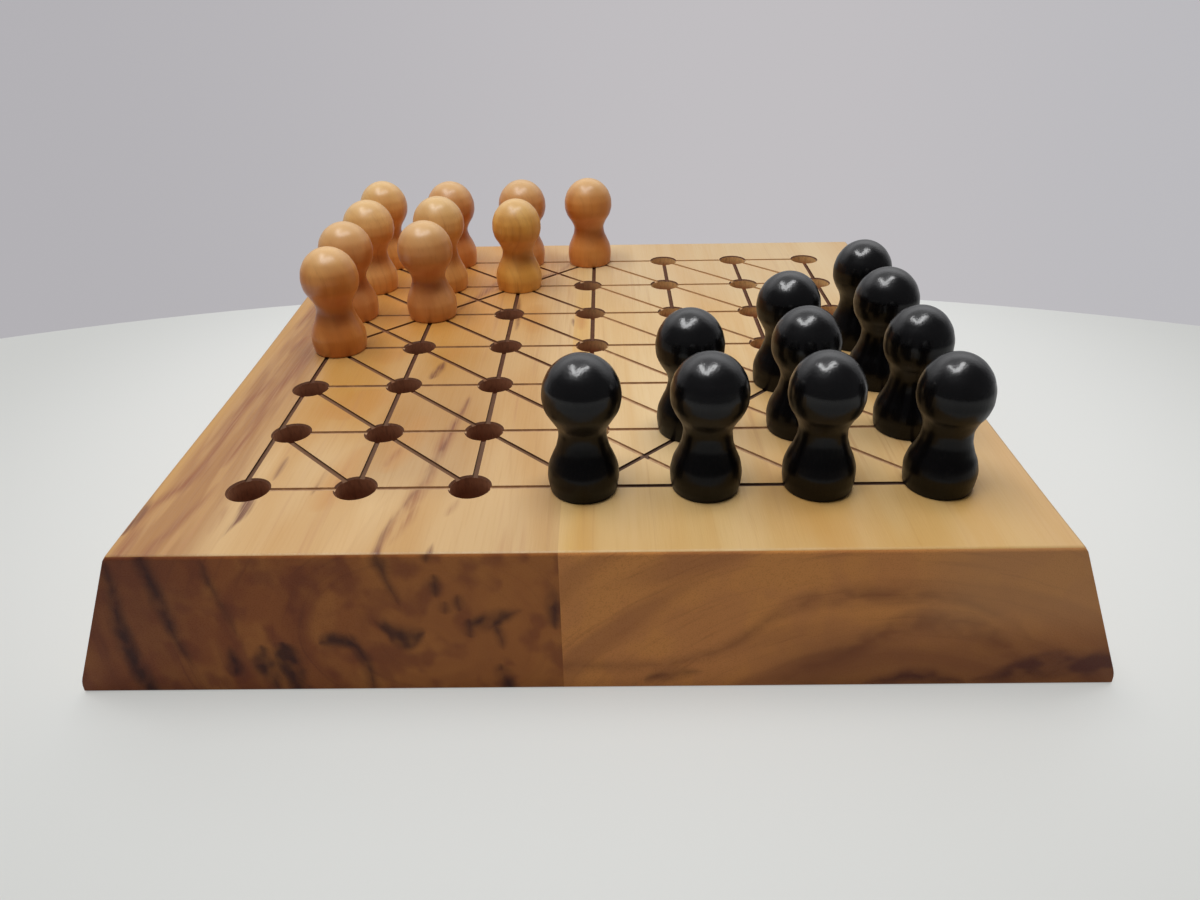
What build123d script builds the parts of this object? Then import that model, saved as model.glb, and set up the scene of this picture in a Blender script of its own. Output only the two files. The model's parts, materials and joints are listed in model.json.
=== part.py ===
# Halma board game: a solid board of two edge-glued planks with a grid of drilled holes,
# and two sets of turned wooden pegs that plug into it.
# Millimetres, +X to the right, +Y away from the player of the black pegs, +Z up.
# The origin is on the underside, in the middle of the outer box.
import os

from math import atan2, cos, degrees, hypot, pi, sin

from build123d import *

os.makedirs("parts", exist_ok=True)

# Grid of holes and scribed lines
pitch = 20.0
holes_per_side = 7
camp_size = 4             # pegs along one edge of a corner camp
hole_diameter = 7.0
hole_depth = 10.0
hole_chamfer = 0.3
line_width = 1.0
line_depth = 0.4

# Board, seen from above at its top face
board_thickness = 28.6
margin_left = 15.2        # from the outer line of crossings to the edge of the top face
margin_right = 16.8
margin_front = 18.8
margin_back = 16.4
glue_joint_offset = -4.5  # from the middle column of crossings to the glued joint
top_edge_radius = 0.8
end_edge_radius = 0.4

# Natural long sides, which lean outwards towards the underside
side_flare = 12.0         # from the edge of the top face to the foot
foot_height = 2.0         # of the upright foot below the slope
foot_radius = 6.0         # between slope and foot
overrun = 6.0             # of cutting shapes past the faces that they cut

# Turned peg
peg_height = 24.6
head_diameter = 13.1
crown_height = 6.9        # from the widest part of the head up to its top
throat_diameter = 11.3
throat_drop = 3.3         # from the widest part down to where the head turns in
neck_diameter = 8.1
neck_drop = 3.4           # from there down to the narrowest part
waist_diameter = 10.4
waist_height = 6.4        # where the base turns in to the neck
base_diameter = 12.3
belly_height = 3.0        # where the base is widest
foot_diameter = 11.7
foot_lean = 0.2           # outward per upward, where the body leaves the foot
pin_length = 8.5
pin_clearance = 0.25      # round the pin in its hole
pin_chamfer = 0.6

# How far the drill wandered from the crossing, by column and row from the near left
drill_drift = {
    (1, 1): (1.2, 0.0), (1, 2): (2.6, 0.0), (1, 3): (0.8, -0.8), (1, 4): (1.9, 0.0),
    (1, 5): (0.2, 0.0), (1, 6): (1.1, 0.0), (1, 7): (1.2, 0.0), (2, 1): (-0.3, 0.2),
    (2, 2): (0.5, -0.3), (2, 3): (0.3, 0.2), (3, 1): (-0.5, 0.3), (3, 2): (-0.3, 0.0),
    (3, 3): (-0.3, 0.1), (3, 5): (-1.0, 0.0), (3, 7): (-0.3, 0.0), (4, 1): (-0.8, 0.0),
    (4, 5): (-0.7, 0.0), (4, 6): (-1.6, 0.0), (4, 7): (-1.2, 0.0), (5, 2): (-1.1, 0.0),
    (5, 4): (0.3, 0.2), (5, 6): (-0.9, 0.0), (6, 1): (-0.8, 0.0), (6, 2): (-0.4, 0.0),
    (6, 6): (0.3, -0.2), (7, 1): (-0.3, 0.0), (7, 3): (-0.2, 0.0), (7, 4): (0.1, 0.0),
    (7, 6): (-0.1, 0.3), (7, 7): (0.6, -0.2),
}

# How a natural side wanders, at even steps from the front end to the back end:
# how far the top edge and the foot stand outside (+) or inside (-) their usual place
left_wander = ((-0.6, -0.5), (-0.1, -0.6), (0.2, 0.0), (1.0, -0.6), (0.4, -1.1))
right_wander = ((-0.2, -0.3), (-0.1, -0.7), (0.3, 0.0), (0.2, -0.8), (-0.4, -0.5))

# Worked out from the sizes above
grid_span = (holes_per_side - 1) * pitch
half_width = (margin_left + grid_span + margin_right) / 2 + side_flare
half_depth = (margin_front + grid_span + margin_back) / 2
left_top_edge = side_flare - half_width
right_top_edge = half_width - side_flare
first_column_x = left_top_edge + margin_left
first_row_y = margin_front - half_depth
glue_joint_x = first_column_x + grid_span / 2 + glue_joint_offset
pin_diameter = hole_diameter - 2 * pin_clearance


def crossing(column, row):
    """Place on the top face where two scribed lines cross."""
    return first_column_x + (column - 1) * pitch, first_row_y + (row - 1) * pitch


def hole_centre(column, row):
    """Where the hole of a crossing was really drilled."""
    x, y = crossing(column, row)
    drift_x, drift_y = drill_drift.get((column, row), (0.0, 0.0))
    return x + drift_x, y + drift_y


def all_holes():
    numbers = range(1, holes_per_side + 1)
    return [(column, row) for row in numbers for column in numbers]


def near_camp():
    """Crossings of the triangular camp in the near right corner, front row first."""
    first = holes_per_side - camp_size
    rows = range(1, camp_size + 1)
    return [(column, row) for row in rows for column in range(first + row, holes_per_side + 1)]


def far_camp():
    """The near camp turned half round the middle of the board."""
    return [(holes_per_side + 1 - column, holes_per_side + 1 - row) for column, row in near_camp()]


def scribed_lines():
    """End crossings of the lines: the rows, the columns, and the diagonals."""
    last = holes_per_side
    first = last - camp_size + 1
    rows = [((1, number), (last, number)) for number in range(1, last + 1)]
    columns = [((number, 1), (number, last)) for number in range(1, last + 1)]
    diagonals = [((first, 1), (last, camp_size)), ((1, first), (camp_size, last))]
    for total in range(3, 2 * last):
        high = min(total - 1, last)
        diagonals.append(((total - high, high), (high, total - high)))
    return rows, columns, diagonals


def groove(start, end):
    """Cutting shape of one scribed line."""
    (x0, y0), (x1, y1) = crossing(*start), crossing(*end)
    bar = Box(hypot(x1 - x0, y1 - y0), line_width, 2 * line_depth)
    turn = Rot(0, 0, degrees(atan2(y1 - y0, x1 - x0)))
    return Pos((x0 + x1) / 2, (y0 + y1) / 2, board_thickness) * turn * bar


def drill(column, row):
    """Cutting shape of one blind hole with its softened rim."""
    radius = hole_diameter / 2
    x, y = hole_centre(column, row)
    rim = radius + hole_chamfer
    profile = Polyline(
        (0, -hole_depth),
        (radius, -hole_depth),
        (radius, -hole_chamfer),
        (rim, 0),
        (rim, overrun),
        (0, overrun),
        close=True,
    )
    return Pos(x, y, board_thickness) * revolve(make_face(Plane.XZ * profile), Axis.Z)


def side_section(outward, top_x, foot_x, y):
    """Cross-section that fills a plank from the glued joint to its natural side."""
    slope = (foot_x - top_x) / (board_thickness - foot_height)
    inside_x = glue_joint_x - outward * overrun
    side = FilletPolyline(
        (top_x - slope * overrun, y, board_thickness + overrun),
        (foot_x, y, foot_height),
        (foot_x, y, -overrun),
        radius=foot_radius,
    )
    back = Polyline(
        (foot_x, y, -overrun),
        (inside_x, y, -overrun),
        (inside_x, y, board_thickness + overrun),
        (top_x - slope * overrun, y, board_thickness + overrun),
    )
    return make_face(side + back)


def plank_blank(outward, top_edge, wander):
    """Plank before drilling: square ends, flat faces and one natural long side."""
    reach = half_depth + overrun
    step = 2 * reach / (len(wander) - 1)
    sections = []
    for number, (top_shift, foot_shift) in enumerate(wander):
        top_x = top_edge + outward * top_shift
        foot_x = top_edge + outward * (side_flare + foot_shift)
        sections.append(side_section(outward, top_x, foot_x, number * step - reach))
    width = abs(top_edge - glue_joint_x) + side_flare + overrun
    stock = Box(width, 2 * half_depth, board_thickness)
    stock = Pos(glue_joint_x + outward * width / 2, 0, board_thickness / 2) * stock
    return round_edges(stock & loft(sections))


def round_edges(blank):
    """Softens every edge of the top and the ends of the underside, but not the glued joint."""
    def away_from_joint(edge):
        return abs(edge.center().X - glue_joint_x) > line_width

    top = blank.faces().sort_by(Axis.Z)[-1]
    blank = fillet([edge for edge in top.edges() if away_from_joint(edge)], top_edge_radius)
    under = blank.faces().sort_by(Axis.Z)[0]
    ends = under.edges().filter_by(Axis.X)
    return fillet(ends, end_edge_radius)


def peg():
    """One turned peg, standing on z = 0 with its pin below."""
    widest_z = peg_height - crown_height
    throat_z = widest_z - throat_drop
    foot_point = (foot_diameter / 2, 0)
    belly_point = (base_diameter / 2, belly_height)
    waist_point = (waist_diameter / 2, waist_height)
    neck_point = (neck_diameter / 2, throat_z - neck_drop)
    throat_point = (throat_diameter / 2, throat_z)
    widest_point = (head_diameter / 2, widest_z)
    shoulder_point = (head_diameter / 2 * cos(pi / 4), widest_z + crown_height * sin(pi / 4))
    top_point = (0, peg_height)
    pin = pin_diameter / 2
    lower = Polyline(
        top_point,
        (0, -pin_length),
        (pin - pin_chamfer, -pin_length),
        (pin, pin_chamfer - pin_length),
        (pin, 0),
        foot_point,
    )
    body = Spline(foot_point, belly_point, waist_point, neck_point, tangents=[(foot_lean, 1), (0, 1)])
    throat = Spline(neck_point, throat_point, widest_point, tangents=[(0, 1), (0, 1)])
    crown = Spline(widest_point, shoulder_point, top_point, tangents=[(0, 1), (-1, 0)])
    return revolve(make_face(Plane.XZ * (lower + body + throat + crown)), Axis.Z)


def write(solid, name):
    solid.label = name
    export_step(solid, f"parts/{name}.step")


def plank(outward, top_edge, wander):
    """Plank with its share of the holes and lines, those across the joint included."""
    wood = plank_blank(outward, top_edge, wander)
    wood -= [drill(column, row) for column, row in all_holes()]
    for lines in scribed_lines():
        wood -= [groove(start, end) for start, end in lines]
    return wood


def main():
    write(plank(-1, left_top_edge, left_wander), "left_plank")
    write(plank(1, right_top_edge, right_wander), "right_plank")
    figure = peg()
    for colour, camp in (("black", near_camp()), ("light", far_camp())):
        for number, (column, row) in enumerate(camp, start=1):
            x, y = hole_centre(column, row)
            write(Pos(x, y, board_thickness) * figure, f"{colour}_peg_{number}")


main()
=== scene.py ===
import json
import random

from math import atan2, cos, exp, pi, radians, sin, tau

import bpy
import numpy as np
from mathutils import Matrix, Vector

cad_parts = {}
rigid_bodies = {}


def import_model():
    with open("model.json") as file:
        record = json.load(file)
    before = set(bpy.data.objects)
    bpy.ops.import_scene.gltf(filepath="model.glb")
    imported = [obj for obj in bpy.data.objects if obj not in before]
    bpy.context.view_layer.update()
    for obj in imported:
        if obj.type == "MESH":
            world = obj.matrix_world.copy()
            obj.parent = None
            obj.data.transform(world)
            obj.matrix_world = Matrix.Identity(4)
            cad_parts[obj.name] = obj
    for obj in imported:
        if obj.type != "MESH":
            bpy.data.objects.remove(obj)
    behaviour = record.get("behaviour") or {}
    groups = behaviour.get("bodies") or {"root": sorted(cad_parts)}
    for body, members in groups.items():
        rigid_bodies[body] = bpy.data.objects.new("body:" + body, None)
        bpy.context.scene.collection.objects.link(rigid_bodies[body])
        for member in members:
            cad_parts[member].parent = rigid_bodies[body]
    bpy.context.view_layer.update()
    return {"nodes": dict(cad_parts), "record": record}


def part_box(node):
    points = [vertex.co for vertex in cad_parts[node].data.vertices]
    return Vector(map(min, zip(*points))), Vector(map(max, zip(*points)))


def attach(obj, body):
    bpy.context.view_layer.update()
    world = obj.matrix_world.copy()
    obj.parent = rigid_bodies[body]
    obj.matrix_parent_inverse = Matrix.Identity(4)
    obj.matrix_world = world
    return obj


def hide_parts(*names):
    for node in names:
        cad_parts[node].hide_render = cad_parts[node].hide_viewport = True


for leftover in list(bpy.data.objects):
    bpy.data.objects.remove(leftover)

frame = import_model()

MM = 0.001
board_low, board_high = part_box("left_plank")
top_mm = board_high.z / MM
joint_mm = board_high.x / MM
front_mm = board_low.y / MM
back_mm = board_high.y / MM
first_column_mm = -60.8        # where the leftmost scribed line that runs away from the player lies
first_row_mm = -58.8           # where the nearest line across the board lies
hole_spacing_mm = 20.0
rim_reach_mm = 3.9             # from a hole's middle out past its softened rim
camp_border_columns = 3        # from the first column to where the near camp's border meets the front row

# Camera, as found from the board's edges and crossings in the photograph
image_width_px = 1200
focal_length_px = 877.3
sensor_width_mm = 36.0
camera_place_mm = (2.64, -185.76, top_mm + 81.92)
camera_tilt = radians(30.47)
camera_yaw = radians(-0.62)
camera_roll = radians(-0.93)

# Pale round table top that the game stands on
table_radius_mm = 509.0
table_centre_mm = (-3.0, -394.0)
table_drop_mm = 0.05           # below the board, so that their faces don't flicker
table_segments = 256
table_plain_share = 0.5        # of the plain colour in what the camera sees of it

# Lamps over the board, and the brightest part of the room
lamp_height_mm = 650.0
lamp_width_mm = 120.0
lamp_radiance = 9.1
left_lamp_mm = ((-197, -205), (-250, 180))
right_lamp_mm = ((-150, -219), (194, 90))
brightest_side = (-0.2, 0.22, 0.955)

# Turned peg, standing on the board's top face
peg_height_mm = 24.6
head_radius_mm = 6.55
crown_height_mm = 6.9         # from the widest part of the head up to its top
throat_radius_mm = 5.65
throat_drop_mm = 3.3          # from the widest part down to where the head turns in
throat_lean = 0.62            # outward per upward
neck_radius_mm = 4.05
neck_drop_mm = 3.4            # from there down to the narrowest part
waist_radius_mm = 5.2
waist_height_mm = 6.4
waist_lean = -0.48
base_radius_mm = 6.15
belly_height_mm = 3.0
foot_radius_mm = 5.85
foot_edge_mm = 0.25
foot_corner_mm = 0.3 * foot_edge_mm
foot_lean = 0.2
widest_mm = peg_height_mm - crown_height_mm
dimple_depth_mm = 0.14        # where the lathe's centre held the top of the head
dimple_radius_mm = 0.6
pin_radius_mm = 3.25
pin_length_mm = 8.5
pin_chamfer_mm = 0.6
pin_root_mm = 0.02            # from the last ring of the pin up to the foot
peg_segments = 72
stretch_steps = 8             # rings in each stretch of the body
crown_steps = 32
tool_mark_mm = 0.018          # how far the lathe tool's marks go in and out
tool_mark_turn = 2.9          # of their wave, in radians per millimetre up
out_of_round = 0.003          # share of the radius
crease = radians(50)          # where two faces meet at more than this, the edge is sharp

# How the pegs came out of the lathe and sit in their holes, in the order of their numbers:
# height, share of the usual head radius, and lean to the right in degrees
black_pegs = (
    (24.6, 1.0, 0.0), (24.6, 0.99, 0.0), (24.5, 0.955, -0.8), (24.1, 0.93, 0.0), (24.1, 0.96, -1.3),
    (24.3, 0.96, 0.0), (24.2, 0.935, -0.4), (23.9, 0.975, 0.0), (24.4, 0.97, -0.8), (23.8, 0.96, -0.6),
)
light_pegs = (
    (23.6, 1.0, -0.9), (23.4, 1.0, 1.2), (23.3, 1.0, 0.0), (23.6, 0.985, 0.0), (23.4, 0.965, 0.5),
    (24.3, 1.0, -0.4), (23.5, 1.0, 1.2), (23.6, 1.0, -0.9), (23.6, 0.98, 1.2), (23.8, 0.96, 0.5),
)


# Arithmetic on shader nodes

class Field:
    """A number, colour or vector that varies over a surface: one output of a node tree."""

    def __init__(self, socket):
        self.socket = socket
        self.tree = socket.id_data

    def __add__(self, other):
        return calculate("ADD", self, other)

    def __sub__(self, other):
        return calculate("SUBTRACT", self, other)

    def __mul__(self, other):
        return calculate("MULTIPLY", self, other)


def connect(socket, value):
    """Gives a node's input a field or a plain value."""
    if isinstance(value, Field):
        socket.id_data.links.new(value.socket, socket)
    else:
        socket.default_value = value


def tree_of(values):
    return next(value.tree for value in values if isinstance(value, Field))


def calculate(operation, *values):
    node = tree_of(values).nodes.new("ShaderNodeMath")
    node.operation = operation
    for socket, value in zip(node.inputs, values):
        connect(socket, value)
    return Field(node.outputs[0])


def calculate_vector(operation, *values):
    node = tree_of(values).nodes.new("ShaderNodeVectorMath")
    node.operation = operation
    for socket, value in zip(node.inputs, values):
        connect(socket, value)
    return Field(node.outputs[0])


def larger(a, b):
    """The larger of two fields at each point."""
    return calculate("MAXIMUM", a, b)


def distance(a, b):
    """Length of the vector that has the parts a and b."""
    return calculate("SQRT", a * a + b * b)


def split(vector):
    node = vector.tree.nodes.new("ShaderNodeSeparateXYZ")
    connect(node.inputs[0], vector)
    return [Field(output) for output in node.outputs]


def join(x, y, z):
    node = tree_of((x, y, z)).nodes.new("ShaderNodeCombineXYZ")
    for socket, value in zip(node.inputs, (x, y, z)):
        connect(socket, value)
    return Field(node.outputs[0])


def rise(value, low, high, bottom=0.0, top=1.0):
    """Smooth step from bottom, where the value is low or less, to top, where it is high or more."""
    node = value.tree.nodes.new("ShaderNodeMapRange")
    node.interpolation_type = "SMOOTHSTEP"
    for socket, number in zip(node.inputs, (value, low, high, bottom, top)):
        connect(socket, number)
    return Field(node.outputs[0])


def rise_straight(value, low, high):
    """Even climb from 0, where the value is low or less, to 1, where it is high or more."""
    node = value.tree.nodes.new("ShaderNodeMapRange")
    for socket, number in zip(node.inputs, (value, low, high, 0.0, 1.0)):
        connect(socket, number)
    return Field(node.outputs[0])


def curve_through(share, places, values):
    """Smooth curve through values at uneven places, over the share of the way from first to last."""
    low = min(values)
    span = max(max(values) - low, 0.001)
    node = share.tree.nodes.new("ShaderNodeFloatCurve")
    points = node.mapping.curves[0].points
    while len(points) < len(values):
        points.new(0.5, 0.5)
    for point, place, value in zip(points, places, values):
        point.location = ((place - places[0]) / (places[-1] - places[0]), (value - low) / span)
    node.mapping.update()
    connect(node.inputs["Value"], share)
    return Field(node.outputs[0]) * span + low


def blend(first, second, amount):
    """Colour that goes from the first to the second as the amount goes from 0 to 1."""
    node = tree_of((first, second, amount)).nodes.new("ShaderNodeMix")
    node.data_type = "RGBA"
    connect(node.inputs["Factor"], amount)
    colour_inputs = [socket for socket in node.inputs if socket.type == "RGBA"]
    connect(colour_inputs[0], first)
    connect(colour_inputs[1], second)
    return Field(next(socket for socket in node.outputs if socket.type == "RGBA"))


def noise(place, size, detail=2.0, roughness=0.5, seed=0.0):
    """Cloudy values round 0.5; size is how large a cloud is along each axis."""
    node = place.tree.nodes.new("ShaderNodeTexNoise")
    node.inputs["Scale"].default_value = 1.0
    node.inputs["Detail"].default_value = detail
    node.inputs["Roughness"].default_value = roughness
    shrink = tuple(1.0 / length for length in size)
    connect(node.inputs["Vector"], calculate_vector("MULTIPLY_ADD", place, shrink, (seed, seed, seed)))
    return node


def cloud(place, size, detail=2.0, roughness=0.5, seed=0.0):
    """Noise as one number. Calls give the size of its clouds, its detail, its roughness and its seed."""
    return Field(noise(place, size, detail, roughness, seed).outputs[0])


def bend(place, size, reach, seed=0.0):
    """The place, shifted by up to about the reach, so that straight things on it wander."""
    shift = Field(noise(place, size, seed=seed).outputs[1])
    shift = calculate_vector("SUBTRACT", shift, (0.5, 0.5, 0.5))
    return calculate_vector("MULTIPLY_ADD", shift, (reach, reach, reach), place)


def sheen(material, colour, roughness, height=None, height_mm=0.0, specular=0.5):
    """Wires the fields into the material's shader, and gives back the shader."""
    tree = material.node_tree
    shader = tree.nodes["Principled BSDF"]
    connect(shader.inputs["Base Color"], colour)
    connect(shader.inputs["Roughness"], roughness)
    shader.inputs["Specular IOR Level"].default_value = specular
    if height is not None:
        bump = tree.nodes.new("ShaderNodeBump")
        bump.inputs["Distance"].default_value = height_mm * MM
        connect(bump.inputs["Height"], height)
        connect(shader.inputs["Normal"], Field(bump.outputs[0]))
        connect(shader.inputs["Coat Normal"], Field(bump.outputs[0]))
    return shader


def lacquer(shader, weight, roughness, refraction):
    """A thin clear coat over the rest."""
    connect(shader.inputs["Coat Weight"], weight)
    shader.inputs["Coat Roughness"].default_value = roughness
    shader.inputs["Coat IOR"].default_value = refraction


def new_material(name):
    material = bpy.data.materials.new(name)
    material.use_nodes = True
    return material


def place_on(material):
    """Where a point of the surface lies in the part, in millimetres, also when the piece moves."""
    node = material.node_tree.nodes.new("ShaderNodeTexCoord")
    return calculate_vector("SCALE", Field(node.outputs["Object"]), (0, 0, 0), (0, 0, 0), 1 / MM)


def normal_on(material):
    """Which way the surface faces in the part, also when the piece moves."""
    node = material.node_tree.nodes.new("ShaderNodeTexCoord")
    return Field(node.outputs["Normal"])


def shade(red, green, blue):
    """Colour as a screen shows it, from 0 to 255, as the linear values that Blender takes."""
    parts = [value / 255 for value in (red, green, blue)]
    linear = [p / 12.92 if p <= 0.04045 else ((p + 0.055) / 1.055) ** 2.4 for p in parts]
    return (*linear, 1.0)


# Wood of the planks

ring_flatness = 1.15           # how much flatter than round the growth rings are


class Plank:
    """How one plank's wood has grown and what colours it has."""

    def __init__(self, name, pith_mm, lean, seed, face_tones, end_tones):
        self.name = name
        self.pith_mm = pith_mm        # where the middle of the trunk crosses the front end
        self.lean = lean              # how the trunk's middle moves with each step to the back
        self.seed = seed
        self.face_tones = face_tones
        self.end_tones = end_tones


left = Plank(
    name="left_plank",
    pith_mm=(-27.0, 11.0),
    lean=(0.03, -0.05),
    seed=3.0,
    face_tones={
        "body": shade(207, 169, 115),
        "warm": shade(197, 151, 90),
        "pale": shade(221, 186, 133),
        "line": shade(168, 116, 72),
    },
    end_tones={
        "body": shade(157, 91, 47),
        "warm": shade(175, 109, 55),
        "deep": shade(130, 68, 39),
        "line": shade(98, 50, 33),
    },
)
right = Plank(
    name="right_plank",
    pith_mm=(50.0, -26.0),
    lean=(-0.04, 0.02),
    seed=11.0,
    face_tones={
        "body": shade(218, 182, 126),
        "warm": shade(212, 166, 100),
        "pale": shade(227, 196, 144),
        "line": shade(190, 142, 90),
    },
    end_tones={
        "body": shade(213, 142, 80),
        "warm": shade(221, 149, 80),
        "deep": shade(180, 116, 68),
        "line": shade(158, 95, 55),
    },
)


# Marks in the wood. Each is a list of stations: how far along, where across, and half its width,
# where 0 or less lets the mark fade out.
# On the top face marks run along y, and are told from front to back
dark_streaks_mm = (
    ((-78, -33.3, 0.7), (-74, -33.4, 0.3), (-70, -33.0, 0.15), (-64, -31.4, 0.1), (-58, -30.0, 0.1),
     (-55, -29.4, 0.35), (-50.5, -28.8, 0.55), (-46, -28.2, 0.3), (-40, -27.6, 0.1), (-34, -26.9, 0.1),
     (-29, -26.1, 0.2), (-24, -25.6, 0)),
    ((-16, -35.2, 0), (-12, -34.4, 1.1), (-9, -34.0, 0.8), (-6, -33.6, 0)),
    ((10, -19.3, 0), (16, -19.2, 0.4), (24, -19.8, 0.5), (34, -20.3, 0)),
    ((12, -5.0, 0), (15, -5.4, 0.4), (18, -5.8, 0)),
    ((-79, -25.2, 0.6), (-76.5, -25.1, 0.2), (-74, -25.0, 0)),
    ((-75, -59.4, 0), (-70, -58.6, 0.2), (-66.4, -58.0, 0.8), (-63.6, -58.2, 1.0), (-60, -58.4, 0)),
    ((-56, -56.4, 0), (-52, -56.2, 0.3), (-47, -56.2, 0)),
    ((-61, -48.3, 0), (-56, -47.8, 0.2), (-51, -47.4, 0)),
    ((-72, -75.4, 0), (-69, -75.4, 0.9), (-66.5, -75.3, 1.0), (-63, -75.2, 0.5), (-60, -75.2, 0)),
)
edge_streaks_mm = (
    ((-78, -73.5, 0.5), (-73, -73.7, 0.7), (-67, -74.2, 0.4), (-61, -73.0, 0.7), (-56, -71.2, 0.9),
     (-50, -70.5, 0.6), (-43, -70.7, 0.3), (-37, -70.9, 0.8), (-27, -71.0, 0.6), (-20, -70.0, 0.6),
     (-13, -69.6, 0)),
    ((-52, -67.2, 0), (-49, -66.9, 0.3), (-43, -66.5, 0.6), (-36, -66.3, 0.2), (-28, -66.8, 0.4),
     (-20, -66.9, 0.7), (-13, -66.1, 0.6), (-7, -65.7, 0.9), (-2, -65.8, 0.7), (5, -66.6, 0)),
    ((-78, -69.3, 0.4), (-75, -69.2, 0.4), (-71, -68.0, 0.3), (-67, -67.2, 0.3), (-61, -66.1, 0.1),
     (-56, -65.6, 0)),
    ((-2, -70.1, 0), (2, -69.9, 0.3), (5, -69.5, 0.4), (9, -68.4, 0)),
    ((12, -73.2, 0), (18, -72.8, 0.3), (23, -72.4, 0.4), (34, -71.6, 0.2), (50, -71.2, 0)),
)
broad_streaks_mm = (
    ((-72, -61.6, 0), (-68, -61.6, 0.1), (-63, -61.5, 0)),
    ((-52, -37.4, 0), (-48, -36.6, 0.3), (-44, -35.6, 0)),
    ((-77, -33.2, 0.1), (-70, -32.4, 0.4), (-64, -30.8, 0.9), (-60, -30.0, 1.0), (-55, -29.0, 0.5),
     (-48, -28.5, 0.7), (-41, -27.9, 1.1), (-36, -27.2, 0.6), (-29, -26.2, 0.3), (-23, -25.6, 0)),
    ((-76, -31.9, 0), (-71, -30.8, 0.2), (-67, -30.1, 0.3), (-63, -29.6, 0)),
    ((-68, -24.2, 0), (-65, -23.4, 0.1), (-62, -22.6, 0)),
    ((20, -37.0, 0), (28, -33.6, 0.7), (34, -30.6, 0.9), (41, -28.4, 0.9), (50, -24.0, 0.6),
     (58, -20.0, 0)),
    ((34, -30.0, 0), (44, -22.0, 0.7), (49, -14.5, 0.9), (54, -10.0, 0.7), (64, -6.5, 0)),
)
golden_patches_mm = (
    ((-34, -50, 0), (-30, -50, 5.5), (-25, -47, 6), (-20, -46, 0)),
    ((-8, -47, 0), (-5, -47, 3), (-2, -46, 3), (2, -46, 0)),
    ((-7, -33, 0), (-3, -32.5, 2.2), (0, -32, 2), (4, -32, 0)),
    ((8, -15, 0), (14, -15, 2), (22, -15, 2.4), (28, -15, 0)),
    ((-66, -46, 0), (-60, -45, 2.4), (-52, -44, 2.6), (-44, -43, 0)),
    ((-54, -37, 0), (-48, -36, 2.2), (-40, -35, 2.4), (-32, -34, 0)),
)
knot_mm = ((10, -3.6, 0), (17, -3.6, 0.9), (25, -3.4, 0))
# On the front ends upright marks run up z, and are told from bottom to top
left_upright_marks_mm = (
    ((-1, -75.4, 1.1), (3, -76.2, 1.4), (8, -76.9, 1.5), (14, -77.0, 1.3), (18, -76.7, 0.9),
     (24, -76.0, 0.7), (28, -75.6, 0)),
    ((4, -66.8, 0), (9, -68.0, 0.3), (14, -68.8, 0.9), (19, -69.2, 1.0), (24, -69.6, 1.1),
     (29, -70.0, 1.1)),
    ((12, -58.2, 0), (16, -59.0, 0.2), (20, -59.7, 0.4), (24, -60.4, 0.4), (28, -60.9, 0)),
    ((18, -30.6, 0), (21, -31.6, 0.3), (24, -32.6, 0.3), (26.4, -33.0, 0.9), (29, -33.4, 1.1)),
    ((26.4, -25.6, 0), (28, -25.5, 0.5), (29, -25.5, 0.5)),
    ((19.6, -25.0, 0), (22.4, -25.0, 0.7), (25, -25.0, 0)),
    ((16.4, -23.7, 0), (17.8, -23.7, 0.4), (19.2, -23.7, 0)),
    ((16.8, -21.4, 0), (18.8, -21.4, 0.6), (20.8, -21.4, 0)),
    ((-1, -37.4, 0.5), (5, -37.9, 0.6), (9, -38.8, 0.8), (13, -40.0, 0)),
    ((0.0, -53.6, 0.3), (3, -54.4, 1.4), (6, -55.0, 2.0), (8.5, -55.0, 1.4), (10.5, -54.8, 0)),
    ((-1, -50.2, 1.2), (3, -50.6, 1.7), (6, -51.0, 2.4), (8.5, -51.2, 2.2), (11, -51.2, 0)),
    ((3, -60.6, 0), (6, -60.4, 1.2), (8, -60.2, 0.7), (11, -60.2, 0)),
    ((-1, -14.4, 1.1), (2, -15.0, 1.1), (4.6, -15.6, 0.5), (6, -15.8, 0)),
    ((8.6, -14.9, 0), (11, -15.2, 0.4), (14, -16.0, 0.6), (16, -16.2, 0)),
    ((13, -6.3, 0), (16, -6.3, 0.9), (19, -6.4, 0.8), (23, -6.6, 0)),
    ((11.4, -20.0, 0), (13.6, -20.0, 0.8), (15.6, -20.1, 0)),
)
# Lying marks run along x, and are told from left to right
left_lying_marks_mm = (
    ((-36.5, 16.2, 0), (-34, 13.8, 1.6), (-32.4, 12.0, 2.4), (-30.6, 11.4, 2.3), (-29, 12.0, 1.7),
     (-27, 13.0, 0)),
    ((-45.5, 10.6, 0), (-43, 11.2, 1.4), (-40.4, 10.8, 1.3), (-38.4, 8.6, 0.5), (-36.6, 5.4, 0)),
    ((-22, 14.0, 0), (-19, 14.4, 1.1), (-16.6, 15.0, 1.9), (-14.4, 16.0, 1.2), (-10.6, 17.4, 0)),
)
right_lying_marks_mm = (
    ((12, 5.0, 0.4), (21, 8.5, 0.7), (27, 13.6, 1.0), (32, 17.6, 1.2), (38, 19.4, 1.4), (48, 19.8, 1.4),
     (56, 19.0, 1.2), (64, 16.0, 0.8), (72, 9.5, 0)),
    ((26, 1.0, 0), (36, 4.4, 1.6), (41, 6.8, 2.0), (46, 10.6, 2.1), (51, 13.4, 2.3), (56, 14.0, 2.5),
     (61, 12.8, 2.4), (66, 9.6, 2.0), (72, 5.0, 0)),
)
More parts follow.
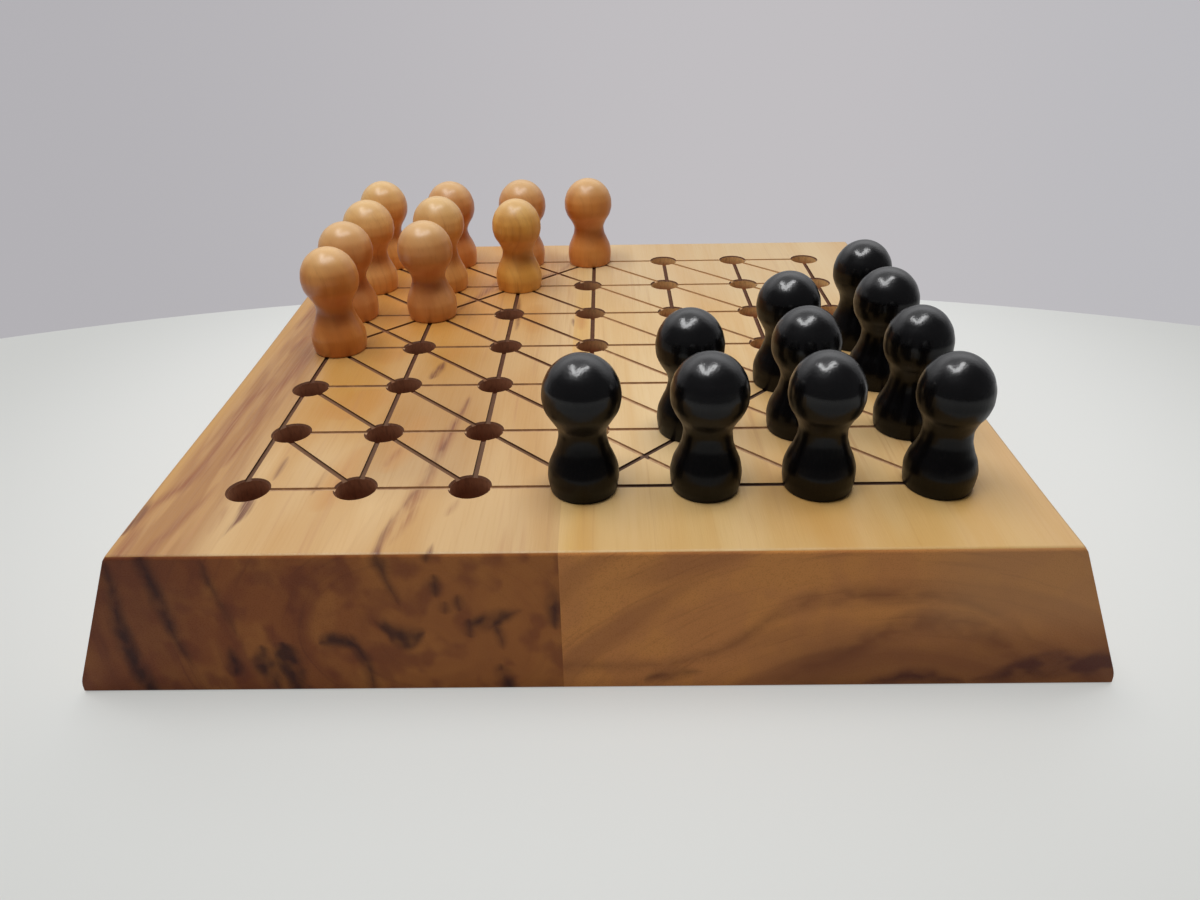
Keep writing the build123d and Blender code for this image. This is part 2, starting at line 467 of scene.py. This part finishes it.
right_dark_patches_mm = (
    ((45, 0.4, 0), (50, 1.6, 1.0), (55, 2.2, 1.3), (59, 1.6, 0.9), (63, 0.4, 0)),
    ((62, 0.6, 0), (68, 2.4, 1.4), (72, 3.8, 2.4), (76, 4.4, 2.8), (80, 4.4, 2.2), (84, 4.2, 3.0),
     (89, 3.0, 2.2)),
    ((8, 1.4, 0), (12, 3.0, 0.9), (15, 3.4, 0.5), (19, 3.8, 0)),
)


def mark(along, across, stations, feather_mm):
    """How much a point lies in one mark, from 0 to 1."""
    places = [station[0] for station in stations]
    widths = [station[2] if station[2] > 0 else -feather_mm for station in stations]
    share = rise_straight(along, places[0], places[-1])
    middle = curve_through(share, places, [station[1] for station in stations])
    half_width = curve_through(share, places, widths)
    depth = half_width - calculate("ABSOLUTE", across - middle)
    return rise(depth, -feather_mm, feather_mm)


def marks(along, across, group, feather_mm):
    """How much a point lies in any mark of a group."""
    found = None
    for stations in group:
        one = mark(along, across, stations, feather_mm)
        found = one if found is None else larger(found, one)
    return found


class Grain:
    """The fields that a plank's faces and ends share: rings, fibres and drifting colour."""

    def __init__(self, plank, material):
        self.place = place_on(material)
        swayed = bend(self.place, (38, 170, 30), 5.0, plank.seed)
        self.grown = bend(swayed, (7, 40, 7), 0.9, plank.seed + 5)
        x, y, z = split(self.grown)
        pith_x, pith_z = plank.pith_mm
        lean_x, lean_z = plank.lean
        from_front = y - front_mm
        across = x - pith_x - from_front * lean_x
        above = z - pith_z - from_front * lean_z
        rings_at = join(distance(across, above * ring_flatness), y, x + z)
        self.rings = cloud(rings_at, (1.3, 80, 26), 3.0, 0.6, plank.seed)
        self.bands = cloud(rings_at, (7.0, 150, 50), 1.0, 0.5, plank.seed + 2)
        self.fibres = cloud(self.grown, (0.4, 16, 0.4), 2.0, 0.6, plank.seed + 4)
        self.pores = cloud(self.grown, (0.22, 3.0, 0.22), 0.0, 0.5, plank.seed + 6)
        self.drift = cloud(self.grown, (15, 60, 15), 2.0, 0.5, plank.seed + 8)


def face_wood(plank):
    """Long grain: the top face, the underside and the natural long sides."""
    material = new_material(plank.name + "_long_grain")
    grain = Grain(plank, material)
    tones = plank.face_tones
    colour = blend(tones["body"], tones["warm"], rise(grain.drift, 0.42, 0.68))
    colour = blend(colour, tones["pale"], rise(grain.bands, 0.48, 0.72, 0.0, 0.7))
    colour = blend(colour, tones["line"], rise(grain.rings, 0.52, 0.78, 0.0, 0.2))
    colour = blend(colour, tones["line"], rise(grain.fibres, 0.5, 0.8, 0.0, 0.16))
    x, y, z = split(bend(grain.place, (3.0, 22, 3.0), 0.9, plank.seed + 9))
    near_top = rise(z, top_mm - 14, top_mm - 6)
    if plank is left:
        colour = left_face_marks(colour, grain, x, y, near_top)
    else:
        colour = right_face_marks(colour, grain, x, y, near_top)
    sideways = calculate("ABSOLUTE", split(normal_on(material))[0])
    side = rise(sideways, 0.3, 0.7)
    colour = blend(colour, side_colour(plank, grain), side * 0.8)
    roughness = rise(grain.fibres, 0.3, 0.7, 0.38, 0.52)
    height = grain.fibres * 0.6 + grain.pores * 0.5 + grain.rings * 0.5
    sheen(material, colour, roughness, height, height_mm=0.03)
    return material


def left_face_marks(colour, grain, x, y, near_top):
    """The left plank's top: golden and umber heart, then the band along the left edge, then streaks."""
    golden = rise(x, -66, -56) * rise(x, -12, -30) * rise(y, -52, -30)
    colour = blend(colour, shade(192, 139, 64), golden * rise(grain.drift, 0.3, 0.6, 0.5, 1.0))
    orange = rise(x, -66, -58) * rise(x, -6, -22) * rise(y, -8, 22) * rise(grain.drift, 0.35, 0.6, 0.3, 1.0)
    colour = blend(colour, shade(216, 150, 72), orange * 0.5)
    umber = rise(x, -46, -38) * rise(x, -16, -26)
    umber = umber * rise(y, -66, -52) * rise(y, -6, -38, 0.35, 1.0) * rise(y, 6, -6)
    colour = blend(colour, shade(140, 88, 36), umber * 0.32)
    patches = marks(y, x, golden_patches_mm, 2.6)
    colour = blend(colour, shade(190, 130, 58), patches * near_top * 0.5)
    colour = left_edge_band(colour, grain, x, near_top)
    return left_streaks(colour, grain, x, y, near_top)


def left_edge_band(colour, grain, x, near_top):
    """Pink-brown band with paler wisps, and the golden rim outside it."""
    band = rise(x, -58, -66)
    colour = blend(colour, shade(164, 112, 56), band * 0.9)
    wisps = rise(cloud(grain.grown, (1.5, 24, 2.0), 3.0, 0.6, 21.0), 0.46, 0.64)
    colour = blend(colour, shade(146, 94, 58), band * wisps * 0.3)
    paler = rise(cloud(grain.grown, (2.6, 30, 3.0), 2.0, 0.5, 22.0), 0.5, 0.66)
    colour = blend(colour, shade(198, 153, 94), band * paler * 0.5)
    rim = rise(x, -72.6, -75.0)
    rim = rim * rise(cloud(grain.grown, (3.0, 30, 3.0), 1.0, 0.5, 24.0), 0.2, 0.5, 0.4, 1.0)
    return blend(colour, shade(200, 152, 84), rim * near_top * 0.75)


def left_streaks(colour, grain, x, y, near_top):
    """Faint streaks all over, and the marks of the left plank's top, broken up by the fibres."""
    elsewhere = rise(cloud(grain.grown, (2.4, 54, 2.4), 2.0, 0.55, 33.0), 0.6, 0.76)
    colour = blend(colour, shade(178, 122, 78), elsewhere * 0.35)
    broken = rise(grain.fibres, 0.25, 0.6, 0.45, 1.0)
    edge = marks(y, x, edge_streaks_mm, 1.4)
    colour = blend(colour, shade(138, 75, 38), edge * broken * near_top * 0.85)
    patchy = rise(cloud(grain.grown, (2.6, 8, 3.0), 2.0, 0.5, 36.0), 0.3, 0.6, 0.3, 1.0)
    broad = marks(y, x, broad_streaks_mm, 1.3)
    colour = blend(colour, shade(142, 79, 42), broad * broken * patchy * near_top * 0.85)
    dark = marks(y, x, dark_streaks_mm, 0.65)
    return blend(colour, shade(102, 48, 25), dark * broken * patchy * near_top * 0.95)


def right_face_marks(colour, grain, x, y, near_top):
    """Yellow stripe beside the joint and the faint brown lines of the right plank's top."""
    fading = rise(cloud(grain.grown, (4.0, 26, 4.0), 2.0, 0.5, 25.0), 0.3, 0.6, 0.4, 1.0)
    stripe = rise(x, joint_mm + 6.0, joint_mm + 2.5) * fading
    colour = blend(colour, shade(220, 178, 96), stripe * 0.4)
    lines = rise(cloud(grain.grown, (1.1, 90, 1.1), 2.0, 0.6, 27.0), 0.58, 0.72)
    colour = blend(colour, shade(188, 136, 84), lines * 0.4)
    stripes = cloud(grain.grown, (4.5, 120, 4.5), 1.0, 0.5, 29.0)
    colour = blend(colour, shade(208, 158, 88), rise(stripes, 0.5, 0.66) * 0.32)
    colour = blend(colour, shade(228, 196, 146), rise(stripes, 0.48, 0.34) * 0.28)
    knots = mark(y, x, knot_mm, 1.2)
    colour = blend(colour, shade(188, 122, 56), knots * near_top * 0.6)
    flame = rise(x, 26, 32) * rise(x, 44, 36) * rise(y, -46, -60)
    colour = blend(colour, shade(208, 148, 80), flame * rise(grain.drift, 0.35, 0.6) * 0.45)
    colour = blend(colour, shade(208, 164, 84), rise(x, -6, 6) * rise(y, -50, -66) * 0.4)
    # painted sheen: the back of the top is paler, standing in for the whitish reflection it shows at a
    # grazing view
    colour = blend(colour, shade(208, 184, 146), rise(y, 14, 44) * 0.35)
    edge = rise(x, 62, 76)
    return blend(colour, shade(206, 162, 108), edge * 0.5)


def side_colour(plank, grain):
    """The natural side, planed along its slope: browner, with long wisps."""
    wisps = rise(cloud(grain.grown, (1.6, 50, 1.6), 3.0, 0.6, plank.seed + 14), 0.4, 0.66)
    patches = rise(cloud(grain.grown, (9, 34, 9), 2.0, 0.5, plank.seed + 16), 0.45, 0.62)
    colour = blend(shade(204, 154, 98), shade(170, 114, 70), wisps)
    return blend(colour, shade(132, 82, 54), patches * 0.5)


def end_wood(plank):
    """End grain, which has taken up more oil and is darker."""
    material = new_material(plank.name + "_end_grain")
    grain = Grain(plank, material)
    tones = plank.end_tones
    blotches = cloud(grain.grown, (7, 60, 9), 2.0, 0.5, plank.seed + 12)
    colour = blend(tones["body"], tones["warm"], rise(blotches, 0.42, 0.62))
    colour = blend(colour, tones["deep"], rise(grain.bands, 0.46, 0.72, 0.0, 0.7))
    colour = blend(colour, tones["line"], rise(grain.rings, 0.5, 0.78, 0.0, 0.4))
    colour = blend(colour, tones["line"], rise(grain.pores, 0.5, 0.8, 0.0, 0.25))
    x, y, z = split(bend(grain.place, (3.5, 60, 3.5), 1.1, plank.seed + 9))
    at_front = rise(y, 20, 0)
    if plank is left:
        colour = left_end_marks(colour, grain, x, z, at_front)
    else:
        colour = right_end_marks(colour, grain, x, z, at_front)
    roughness = rise(grain.pores, 0.3, 0.7, 0.5, 0.68)
    height = grain.pores * 0.8 + grain.rings * 0.6
    sheen(material, colour, roughness, height, height_mm=0.04, specular=0.2)
    return material


def left_end_marks(colour, grain, x, z, at_front):
    """Cracks and mineral stains of the left plank's front end."""
    colour = blend(colour, shade(184, 116, 58), rise(x, -52, -24) * at_front * 0.6)
    corner = rise(x, -58, -72) * rise(z, 4, 20, 0.6, 1.0)
    colour = blend(colour, shade(108, 56, 42), corner * at_front * 0.6)
    spotted = cloud(grain.grown, (4.0, 60, 5.0), 1.5, 0.5, 41.0)
    colour = blend(colour, shade(112, 54, 38), rise(spotted, 0.46, 0.68) * 0.5)
    uneven = rise(cloud(grain.grown, (2.4, 60, 3.4), 1.0, 0.5, 44.0), 0.3, 0.6, 0.5, 1.0)
    upright = marks(z, x, left_upright_marks_mm, 1.3)
    lying = marks(x, z, left_lying_marks_mm, 1.3)
    return blend(colour, shade(54, 27, 28), larger(upright, lying) * uneven * at_front * 0.86)


def right_end_marks(colour, grain, x, z, at_front):
    """Arched rings and purple stains of the right plank's front end."""
    uneven = rise(cloud(grain.grown, (4.5, 60, 3.0), 1.5, 0.5, 47.0), 0.3, 0.6, 0.5, 1.0)
    arcs = marks(x, z, right_lying_marks_mm, 2.2)
    colour = blend(colour, shade(128, 75, 47), arcs * uneven * at_front * 0.7)
    deeper = rise(x, 20, 44) * rise(z, 18, 6)
    colour = blend(colour, shade(132, 78, 47), deeper * at_front * 0.65)
    greyer = rise(x, 46, 62) * rise(z, 8, 18)
    colour = blend(colour, shade(200, 148, 100), greyer * at_front * 0.5)
    patches = marks(x, z, right_dark_patches_mm, 1.6)
    return blend(colour, shade(88, 44, 40), patches * uneven * at_front * 0.85)


def drilled_wood():
    """Wall and floor of the drilled holes: scorched red-brown in the left plank, paler in the right, both
    painted darker deeper down as shade inside the hole.
    """
    material = new_material("drilled_hole")
    place = place_on(material)
    x, _, z = split(place)
    # painted shade: the walls darken with depth below the rim, standing in for the shade inside the hole
    lit_near_rim = rise(z, top_mm - 3.4, top_mm - 0.8)
    fuzz = cloud(place, (0.5, 0.5, 1.5), 3.0, 0.6, 7.0)
    scorched_and_depth_shaded = blend(shade(156, 104, 75), shade(188, 132, 98), lit_near_rim)
    paler = blend(shade(180, 110, 74), shade(255, 212, 146), lit_near_rim)
    colour = blend(scorched_and_depth_shaded, paler, rise(x, joint_mm - 4, joint_mm + 14))
    colour = blend(colour, shade(60, 32, 24), rise(fuzz, 0.45, 0.7, 0.0, 0.25))
    # painted shade: the softened rim faces up, and is darkened as if it lay in shadow
    rim = rise(z, top_mm - 0.33, top_mm - 0.27)
    colour = blend(colour, shade(98, 62, 42), rim)
    roughness = rise(fuzz, 0.3, 0.7, 0.6, 0.85)
    sheen(material, colour, roughness, fuzz, height_mm=0.05, specular=0.2)
    return material


def scribed_wood():
    """The scribed lines. Those that run away from the player are dark, partly as painted shade for the
    shadow seen along their grooves, and so are the slanting ones of the left plank. The others are worn,
    and painted lighter to offset the shade in their grooves, but for the border of the near camp and the
    front row before it, which are almost black.
    """
    material = new_material("scribed_line")
    place = place_on(material)
    x, y, _ = split(place)
    wear = cloud(place, (1.6, 1.6, 1.6), 3.0, 0.65, 13.0)
    worn = rise(wear, 0.4, 0.7)
    # painted light: lines that lie across are lighter, to offset the shade in their grooves, and lighter
    # still towards the back
    lying = blend(shade(184, 148, 114), shade(204, 168, 128), worn)
    lying = blend(lying, shade(212, 176, 132), rise(y, -30, 45) * rise(x, -30, 10, 0.3, 0.75))
    from_column = calculate("PINGPONG", x - first_column_mm, hole_spacing_mm / 2)
    from_row = calculate("PINGPONG", y - first_row_mm, hole_spacing_mm / 2)
    far = rise(y, -40, -10)
    within, beside = 0.55, 0.8      # from the middle of a line
    # painted shade: lines that run away from the player are darker, more so towards the back, for the
    # shadow seen along their grooves
    upright = blend(shade(104, 76, 58), shade(92, 58, 42), far)
    upright = blend(upright, shade(120, 88, 64), worn * 0.4)
    left_slanting = blend(shade(118, 86, 64), shade(132, 92, 66), far)
    slanting = blend(left_slanting, lying, rise(x, joint_mm - 6, joint_mm + 6))
    colour = blend(lying, slanting, rise(from_row, within, beside))
    colour = blend(colour, upright, rise(from_column, beside, within))
    across_board = x - y - (first_column_mm - first_row_mm)
    from_border = calculate("ABSOLUTE", across_board - camp_border_columns * hole_spacing_mm)
    on_row = rise(from_row, beside, within)
    front_row = on_row * rise(y, first_row_mm + 4, first_row_mm + 3) * rise(x, 0, 8)
    black = larger(rise(from_border, 1.6, 1.0), front_row)
    colour = blend(colour, shade(80, 58, 52), black * 0.88)
    roughness = rise(wear, 0.3, 0.7, 0.6, 0.8)
    sheen(material, colour, roughness, wear, height_mm=0.05, specular=0.1)
    return material


# Parts of a plank's surface, in the order of its material slots
LONG_GRAIN, END_GRAIN, DRILLED, SCRIBED = range(4)


def hole_centres_mm():
    """Every hole of the board: the empty ones are stated openings, and the others hold a peg."""
    centres = []
    for opening in frame["record"]["physics"]["openings"]:
        low, high = opening["box_m"]
        centres.append([(low[axis] + high[axis]) / 2 / MM for axis in (0, 1)])
    for name in frame["nodes"]:
        if "_peg_" in name:
            low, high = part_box(name)
            centres.append([(low[axis] + high[axis]) / 2 / MM for axis in (0, 1)])
    return np.array(centres)


def sort_faces(node, centres_mm):
    """Which material each face of a plank takes, told from where it lies and how it faces."""
    mesh = node.data
    count = len(mesh.polygons)
    middle = np.empty(count * 3)
    normal = np.empty(count * 3)
    mesh.polygons.foreach_get("center", middle)
    mesh.polygons.foreach_get("normal", normal)
    middle = middle.reshape(-1, 3) / MM
    normal = normal.reshape(-1, 3)
    rounding_mm = 0.9
    square_on = 0.7
    grid_reach_mm = 7.0
    at_joint_mm = 0.001
    below_face_mm = 0.005
    ends = (np.abs(middle[:, 1]) > back_mm - rounding_mm) & (np.abs(normal[:, 1]) > square_on)
    low = centres_mm.min(axis=0) - grid_reach_mm
    high = centres_mm.max(axis=0) + grid_reach_mm
    inside = np.all((middle[:, :2] > low) & (middle[:, :2] < high), axis=1)
    inside &= np.abs(middle[:, 0] - joint_mm) > at_joint_mm
    cut = inside & (middle[:, 2] < top_mm - below_face_mm) & (middle[:, 2] > top_mm / 2)
    from_hole = np.linalg.norm(middle[:, None, :2] - centres_mm[None], axis=2).min(axis=1)
    in_hole = from_hole < rim_reach_mm
    indices = np.full(count, LONG_GRAIN, dtype=np.int32)
    indices[ends] = END_GRAIN
    indices[cut] = SCRIBED
    indices[cut & in_hole] = DRILLED
    return indices


def dress_planks():
    centres_mm = hole_centres_mm()
    drilled = drilled_wood()
    scribed = scribed_wood()
    for plank in (left, right):
        node = frame["nodes"][plank.name]
        node.data.materials.clear()
        for material in (face_wood(plank), end_wood(plank), drilled, scribed):
            node.data.materials.append(material)
        node.data.polygons.foreach_set("material_index", sort_faces(node, centres_mm))
        node.data.update()


# Pegs

class Figure:
    """Sizes of one turned peg, a little different from its neighbours as hand turning leaves them."""

    def __init__(self, turned, draw):
        self.height, head_share, lean_degrees = turned
        self.head = head_radius_mm * head_share
        self.throat = throat_radius_mm * head_share
        self.neck = neck_radius_mm * draw.uniform(0.97, 1.03)
        self.waist = waist_radius_mm * draw.uniform(0.98, 1.02)
        self.base = base_radius_mm * draw.uniform(0.98, 1.0)
        self.belly_height = belly_height_mm + draw.uniform(-0.2, 0.2)
        self.foot = foot_radius_mm * draw.uniform(0.98, 1.0)
        self.ripple_phase = draw.uniform(0, tau)
        self.turn = draw.uniform(0, tau)
        self.lean = radians(lean_degrees)
        self.lift = self.foot * abs(sin(self.lean))
        self.dimple = 0.0             # only the light heads show the mark of the lathe's centre


def hermite(start, end, start_slope, end_slope, share):
    """Cubic from start to end with the slopes given per whole stretch."""
    s2 = share * share
    s3 = s2 * share
    return (
        (2 * s3 - 3 * s2 + 1) * start
        + (s3 - 2 * s2 + share) * start_slope
        + (3 * s2 - 2 * s3) * end
        + (s3 - s2) * end_slope
    )


def body_stretch(low, high, steps):
    """Radius and height along one stretch of the body; low and high are (height, radius, slope)."""
    rise_mm = high[0] - low[0]
    points = []
    for step in range(steps):
        share = step / steps
        radius = hermite(low[1], high[1], low[2] * rise_mm, high[2] * rise_mm, share)
        points.append((radius, low[0] + share * rise_mm))
    return points


def crown_point(figure, angle):
    """Radius and height on the top of the head, from its widest part (0) up to its middle."""
    radius = figure.head * cos(angle)
    dimple = figure.dimple * exp(-(radius / dimple_radius_mm) ** 2)
    return radius, figure.height - crown_height_mm * (1 - sin(angle)) - dimple


def peg_profile(figure):
    """Radius and height of the rings of a peg, from the pin's tip to the top of the head."""
    widest_z = figure.height - crown_height_mm
    throat_z = widest_z - throat_drop_mm
    stations = (
        (foot_edge_mm, figure.foot, foot_lean),
        (figure.belly_height, figure.base, 0.0),
        (waist_height_mm, figure.waist, waist_lean),
        (throat_z - neck_drop_mm, figure.neck, 0.0),
        (throat_z, figure.throat, throat_lean),
        (widest_z, figure.head, 0.0),
    )
    points = [
        (pin_radius_mm - pin_chamfer_mm, -pin_length_mm),
        (pin_radius_mm, pin_chamfer_mm - pin_length_mm),
        (pin_radius_mm, -pin_root_mm),
        (figure.foot - foot_edge_mm, 0.0),
        (figure.foot - foot_corner_mm, foot_corner_mm),
    ]
    for low, high in zip(stations, stations[1:]):
        points += body_stretch(low, high, stretch_steps)
    points += [crown_point(figure, pi / 2 * step / crown_steps) for step in range(crown_steps)]
    return points


def turned_mesh(name, figure):
    """Mesh of one peg: rings of points round the lathe's axis, closed at both ends."""
    verts = []
    faces = []
    profile = peg_profile(figure)
    for radius, height in profile:
        wave = sin(height * tool_mark_turn + figure.ripple_phase)
        tooled = radius + (tool_mark_mm * wave if height > 1 else 0)
        for segment in range(peg_segments):
            angle = tau * segment / peg_segments
            reach = tooled * (1 + out_of_round * sin(2 * angle + figure.ripple_phase))
            verts.append(Vector((reach * cos(angle), reach * sin(angle), height)) * MM)
    for ring in range(len(profile) - 1):
        for segment in range(peg_segments):
            a = ring * peg_segments + segment
            b = ring * peg_segments + (segment + 1) % peg_segments
            faces.append((a, b, b + peg_segments, a + peg_segments))
    tip = len(verts)
    verts.append(Vector((0, 0, -pin_length_mm)) * MM)
    crown = len(verts)
    verts.append(Vector((0, 0, crown_point(figure, pi / 2)[1])) * MM)
    last = (len(profile) - 1) * peg_segments
    for segment in range(peg_segments):
        after = (segment + 1) % peg_segments
        faces.append((tip, after, segment))
        faces.append((crown, last + segment, last + after))
    mesh = bpy.data.meshes.new(name)
    mesh.from_pydata(verts, [], faces)
    mesh.transform(Matrix.Rotation(figure.lean, 4, "Y") @ Matrix.Rotation(figure.turn, 4, "Z"))
    mesh.validate()
    mesh.shade_smooth()
    mesh.set_sharp_from_angle(angle=crease)
    return mesh


def black_lacquer(seed):
    """Thin lacquer, glossiest on the crown. The grain still shows through as fine upright ridges."""
    material = new_material(f"black_lacquer_{seed}")
    place = place_on(material)
    z = split(place)[2]
    ridges = cloud(place, (0.42, 0.42, 7), 1.0, 0.5, seed * 3.7)
    film = cloud(place, (2.2, 2.2, 3.0), 2.0, 0.5, seed * 1.9)
    colour = blend(shade(5, 4, 5), shade(10, 8, 9), rise(ridges, 0.45, 0.75))
    roughness = rise(film, 0.3, 0.7, 0.36, 0.44)
    height = ridges * 1.5 + film
    shader = sheen(material, colour, roughness, height, height_mm=0.016, specular=0.1)
    shader.inputs["Specular Tint"].default_value = (0.93, 0.96, 1.0, 1.0)
    thickest_on_crown = rise(z, widest_mm - 1.2, widest_mm + 3.8, 0.2, 0.82)
    lacquer(shader, thickest_on_crown, roughness=0.19, refraction=1.65)
    return material


def light_peg_wood(seed, tone):
    """Smooth honey-coloured wood under clear satin lacquer."""
    material = new_material(f"light_peg_wood_{seed}")
    place = bend(place_on(material), (5, 5, 16), 0.8, seed * 2.3)
    x, y, z = split(place)
    heart_x, heart_y = 9, 4
    ring_radius = distance(x - heart_x, y - heart_y)
    rings = cloud(join(ring_radius, z, y), (0.9, 22, 7), 2.0, 0.55, seed * 3.1)
    fibres = cloud(place, (0.3, 0.3, 7), 2.0, 0.6, seed * 4.3)
    drift = cloud(place, (5, 5, 14), 1.0, 0.5, seed * 5.7)
    body, warm = tone
    colour = blend(body, warm, rise(drift, 0.4, 0.66))
    colour = blend(colour, shade(190, 114, 50), rise(rings, 0.48, 0.76, 0.0, 0.32))
    colour = blend(colour, shade(176, 106, 48), rise(fibres, 0.52, 0.8, 0.0, 0.25))
    # painted light: the crown is paler and yellower, as light from above makes it look
    colour = blend(colour, shade(228, 192, 132), rise(z, widest_mm - 1, peg_height_mm, 0.0, 0.7))
    # painted shade: darker round the neck, under the head that shades it
    from_neck = calculate("ABSOLUTE", z - (widest_mm - throat_drop_mm - neck_drop_mm))
    colour = blend(colour, shade(174, 94, 46), rise(from_neck, 6.5, 1.0, 0.0, 0.46))
    roughness = rise(fibres, 0.3, 0.7, 0.34, 0.42)
    height = fibres + rings * 0.5
    shader = sheen(material, colour, roughness, height, height_mm=0.012, specular=0.3)
    lacquer(shader, weight=0.3, roughness=0.3, refraction=1.8)
    return material


orange_tone = (shade(228, 153, 78), shade(211, 130, 58))
honey_tone = (shade(240, 183, 110), shade(226, 164, 90))
pinkish_tone = (shade(224, 157, 93), shade(209, 137, 73))
golden_tone = (shade(246, 186, 92), shade(230, 164, 72))
light_peg_tones = (
    orange_tone, pinkish_tone, pinkish_tone, honey_tone, golden_tone,
    honey_tone, honey_tone, pinkish_tone, pinkish_tone, orange_tone,
)


def turned_piece(name, figure):
    """One peg's object, standing over its own hole."""
    low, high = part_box(name)
    piece = bpy.data.objects.new(name + "_turned", turned_mesh(name + "_turned", figure))
    bpy.context.scene.collection.objects.link(piece)
    piece.location = ((low.x + high.x) / 2, (low.y + high.y) / 2, board_high.z + figure.lift * MM)
    return piece


def dress_pegs():
    for number in range(1, len(black_pegs) + 1):
        for colour, camp in (("black", black_pegs), ("light", light_pegs)):
            name = f"{colour}_peg_{number}"
            figure = Figure(camp[number - 1], random.Random(name))
            if colour == "black":
                material = black_lacquer(number)
            else:
                figure.dimple = dimple_depth_mm
                material = light_peg_wood(number, light_peg_tones[number - 1])
            piece = turned_piece(name, figure)
            piece.data.materials.append(material)
            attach(piece, name)
            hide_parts(name)


# Stage, lights and camera

def table_material():
    """Pale, with painted shade that darkens it farther from the board. Part of what the camera sees of it
    is plain colour, so that its shadows stay light.
    """
    material = new_material("table_top")
    place = place_on(material)
    x, y, _ = split(place)
    cloudy = cloud(place, (140, 140, 140), 2.0, 0.5)
    colour = blend(shade(223, 224, 221), shade(227, 228, 225), cloudy)
    # painted shade: the table gets darker farther from the board
    from_board = distance(x - 15, y - 20)
    colour = blend(colour, shade(200, 201, 198), rise(from_board, 90, 210))
    tree = material.node_tree
    seen = Field(tree.nodes.new("ShaderNodeLightPath").outputs["Is Camera Ray"])
    black = (0.0, 0.0, 0.0, 1.0)
    lit = blend(colour, black, seen * table_plain_share)
    shader = sheen(material, lit, roughness=0.55, specular=0.3)
    connect(shader.inputs["Emission Color"], blend(black, colour, seen))
    shader.inputs["Emission Strength"].default_value = table_plain_share
    return material


def make_table():
    """The pale round table top."""
    verts = []
    for segment in range(table_segments):
        angle = tau * segment / table_segments
        x = table_centre_mm[0] + table_radius_mm * cos(angle)
        y = table_centre_mm[1] + table_radius_mm * sin(angle)
        verts.append(Vector((x, y, -table_drop_mm)) * MM)
    mesh = bpy.data.meshes.new("table_top")
    mesh.from_pydata(verts, [], [tuple(range(table_segments))])
    table = bpy.data.objects.new("table_top", mesh)
    bpy.context.scene.collection.objects.link(table)
    mesh.materials.append(table_material())


def make_world():
    """Soft light from above and behind the board, little from the camera's side, and a grey backdrop."""
    world = bpy.data.worlds.new("studio")
    bpy.context.scene.world = world
    world.use_nodes = True
    tree = world.node_tree
    background = tree.nodes["Background"]
    direction = Field(tree.nodes.new("ShaderNodeTexCoord").outputs["Generated"])
    x, y, z = split(direction)
    wall_foot = (0.4, 0.4, 0.41, 1.0)
    wall_top = (1.45, 1.45, 1.48, 1.0)
    camera_side = (0.085, 0.085, 0.09, 1.0)
    ceiling = (0.65, 0.65, 0.66, 1.0)
    wall = blend(wall_foot, wall_top, rise(z, 0.15, 0.75))
    light = blend(camera_side, wall, rise(y, 0.05, 0.75))
    towards_brightest = x * brightest_side[0] + y * brightest_side[1] + z * brightest_side[2]
    light = blend(light, ceiling, rise(towards_brightest, 0.78, 0.96))
    backdrop = blend(shade(179, 177, 181), shade(193, 190, 193), rise(x, -0.6, 0.15))
    backdrop = blend(backdrop, shade(187, 186, 190), rise(x, 0.2, 0.6))
    seen = Field(tree.nodes.new("ShaderNodeLightPath").outputs["Is Camera Ray"])
    connect(background.inputs["Color"], blend(light, backdrop, seen))
    background.inputs["Strength"].default_value = 1.0


def make_lamp(name, start_mm, end_mm):
    """A long narrow lamp over the board, from one place to another, that shines straight down."""
    along = Vector(end_mm) - Vector(start_mm)
    lamp = bpy.data.lights.new(name, "AREA")
    lamp.shape = "RECTANGLE"
    lamp.size = lamp_width_mm * MM
    lamp.size_y = along.length * MM
    lamp.energy = lamp_radiance * pi * lamp.size * lamp.size_y
    piece = bpy.data.objects.new(name, lamp)
    middle = (Vector(start_mm) + Vector(end_mm)) / 2
    piece.location = Vector((middle.x, middle.y, lamp_height_mm)) * MM
    piece.rotation_euler = (0, 0, -atan2(along.x, along.y))
    bpy.context.scene.collection.objects.link(piece)


def make_lights():
    """Two lamps that meet in a V, which shows as a bright V on every head."""
    make_lamp("lamp_left", *left_lamp_mm)
    make_lamp("lamp_right", *right_lamp_mm)


def make_camera():
    data = bpy.data.cameras.new("camera")
    data.sensor_width = sensor_width_mm
    data.lens = sensor_width_mm * focal_length_px / image_width_px
    data.clip_start = 0.01
    data.clip_end = 10.0
    forward = Vector((
        sin(camera_yaw) * cos(camera_tilt),
        cos(camera_yaw) * cos(camera_tilt),
        -sin(camera_tilt),
    ))
    level_right = forward.cross(Vector((0, 0, 1))).normalized()
    level_up = level_right.cross(forward)
    right_axis = level_right * cos(camera_roll) + level_up * sin(camera_roll)
    up_axis = level_up * cos(camera_roll) - level_right * sin(camera_roll)
    turn = Matrix((right_axis, up_axis, -forward)).transposed()
    camera = bpy.data.objects.new("camera", data)
    camera.matrix_world = Matrix.Translation(Vector(camera_place_mm) * MM) @ turn.to_4x4()
    bpy.context.scene.collection.objects.link(camera)
    bpy.context.scene.camera = camera


dress_planks()
dress_pegs()
make_table()
make_world()
make_lights()
make_camera()
bpy.context.scene.view_settings.view_transform = "Standard"
